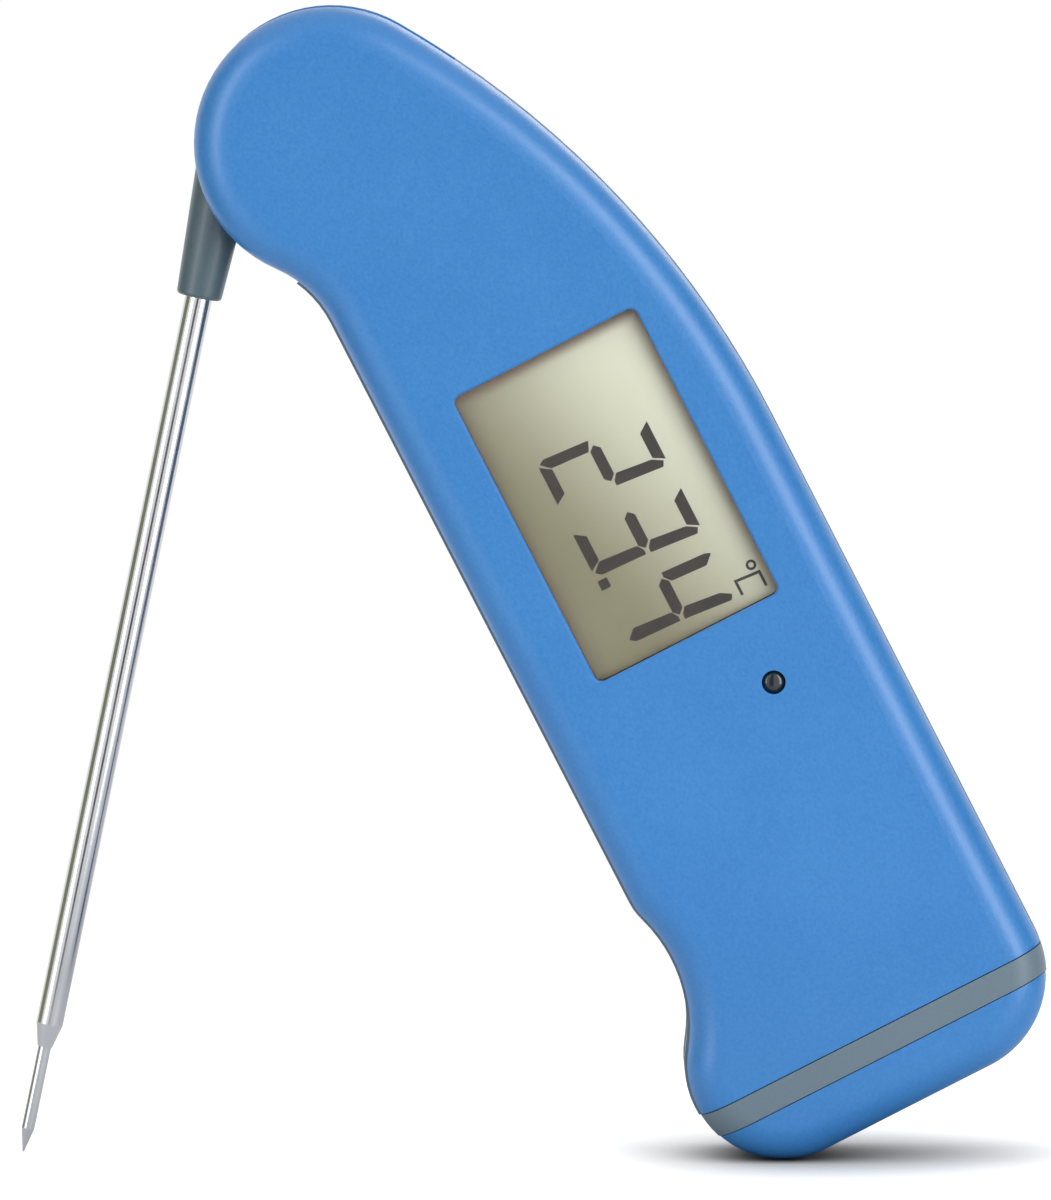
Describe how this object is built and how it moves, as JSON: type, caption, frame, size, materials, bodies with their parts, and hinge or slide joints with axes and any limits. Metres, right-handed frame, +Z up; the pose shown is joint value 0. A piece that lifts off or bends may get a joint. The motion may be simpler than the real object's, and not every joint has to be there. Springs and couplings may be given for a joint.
{
  "type": "meat thermometer",
  "caption": "Folding meat thermometer: a flat blue handle with a display and a steel probe that swings out of its edge from a round head.",
  "frame": {"origin": "centre of the footprint on the floor, where the end cap's heel and the probe's point stand", "axes": "+Z up, the display faces -Y, the head is up and to -X, +Y runs through the thin side of the case"},
  "size_m": [0.1252, 0.0192, 0.1403],
  "materials": {
    "case_blue": "fine satin texture",
    "frame_grey": "satin",
    "steel": "polished",
    "clear_window": "clear, glossy",
    "lcd_glass": "grey-green display film",
    "clear_acrylic": "clear, polished",
    "smoked_lens": "dark, glossy",
    "rubber_black": "matt",
    "foam_black": "matt foam",
    "board_green": "solder mask",
    "chip_black": "matt epoxy",
    "white_plastic": "satin",
    "copper": "gold plated",
    "flex_amber": "polyimide film",
    "brass_insert": "turned",
    "zinc_steel": "zinc plated",
    "cell_jacket": "printed film over steel",
    "acetal": "satin",
    "magnet_nickel": "nickel plated",
    "wire_insulation": "satin"
  },
  "bodies": {
    "case": {"battery": "cell_jacket", "board_parts": "chip_black", "case_screws": "zinc_steel", "circuit_board": "board_green", "contact_block": "chip_black", "contact_flex": "flex_amber", "contact_pins": "copper", "display_window": "clear_window", "end_cap": "case_blue", "friction_washer": "acetal", "front_gasket": "rubber_black", "front_shell": "case_blue", "hall_switch": "chip_black", "lcd_gasket": "foam_black", "lcd_holder": "white_plastic", "lcd_panel": "lcd_glass", "light_guide": "clear_acrylic", "light_sensor": "chip_black", "main_chip": "chip_black", "mid_frame": "frame_grey", "pivot_insert": "brass_insert", "pivot_screw": "zinc_steel", "pivot_sleeve": "zinc_steel", "plate_contact": "zinc_steel", "rear_gasket": "rubber_black", "rear_shell": "case_blue", "sensor_lens": "smoked_lens", "spring_contact": "zinc_steel", "switch_block": "chip_black", "wiper_contacts": "copper", "zebra_strips": "rubber_black"},
    "probe_arm": {"probe_hub": "frame_grey", "probe_tube": "steel", "probe_tip": "steel", "hub_seals": "rubber_black", "contact_rings": "copper", "hub_magnet": "magnet_nickel", "thermocouple_wires": "wire_insulation", "sensing_bead": "zinc_steel"},
    "door": {"battery_door": "case_blue", "door_seal": "rubber_black", "door_screw": "zinc_steel"},
    "lever_1": {"settings_lever_1": "white_plastic"},
    "lever_2": {"settings_lever_2": "white_plastic"},
    "lever_3": {"settings_lever_3": "white_plastic"},
    "lever_4": {"settings_lever_4": "white_plastic"}
  },
  "joints": [
    {"name": "probe_hinge", "type": "hinge", "parent": "case", "child": "probe_arm", "pos_m": [-0.02447, 0, 0.12376], "axis": [0, 1, 0], "range_deg": [-38.9, 141.1]},
    {"name": "door_slide", "type": "slide", "parent": "case", "child": "door", "axis": [0, 1, 0], "range_m": [0, 0.012]},
    {"name": "lever_1_slide", "type": "slide", "parent": "case", "child": "lever_1", "axis": [-0.4562, 0, 0.8899], "range_m": [0, 0.0011]},
    {"name": "lever_2_slide", "type": "slide", "parent": "case", "child": "lever_2", "axis": [-0.4562, 0, 0.8899], "range_m": [0, 0.0011]},
    {"name": "lever_3_slide", "type": "slide", "parent": "case", "child": "lever_3", "axis": [-0.4562, 0, 0.8899], "range_m": [0, 0.0011]},
    {"name": "lever_4_slide", "type": "slide", "parent": "case", "child": "lever_4", "axis": [-0.4562, 0, 0.8899], "range_m": [0, 0.0011]}
  ]
}
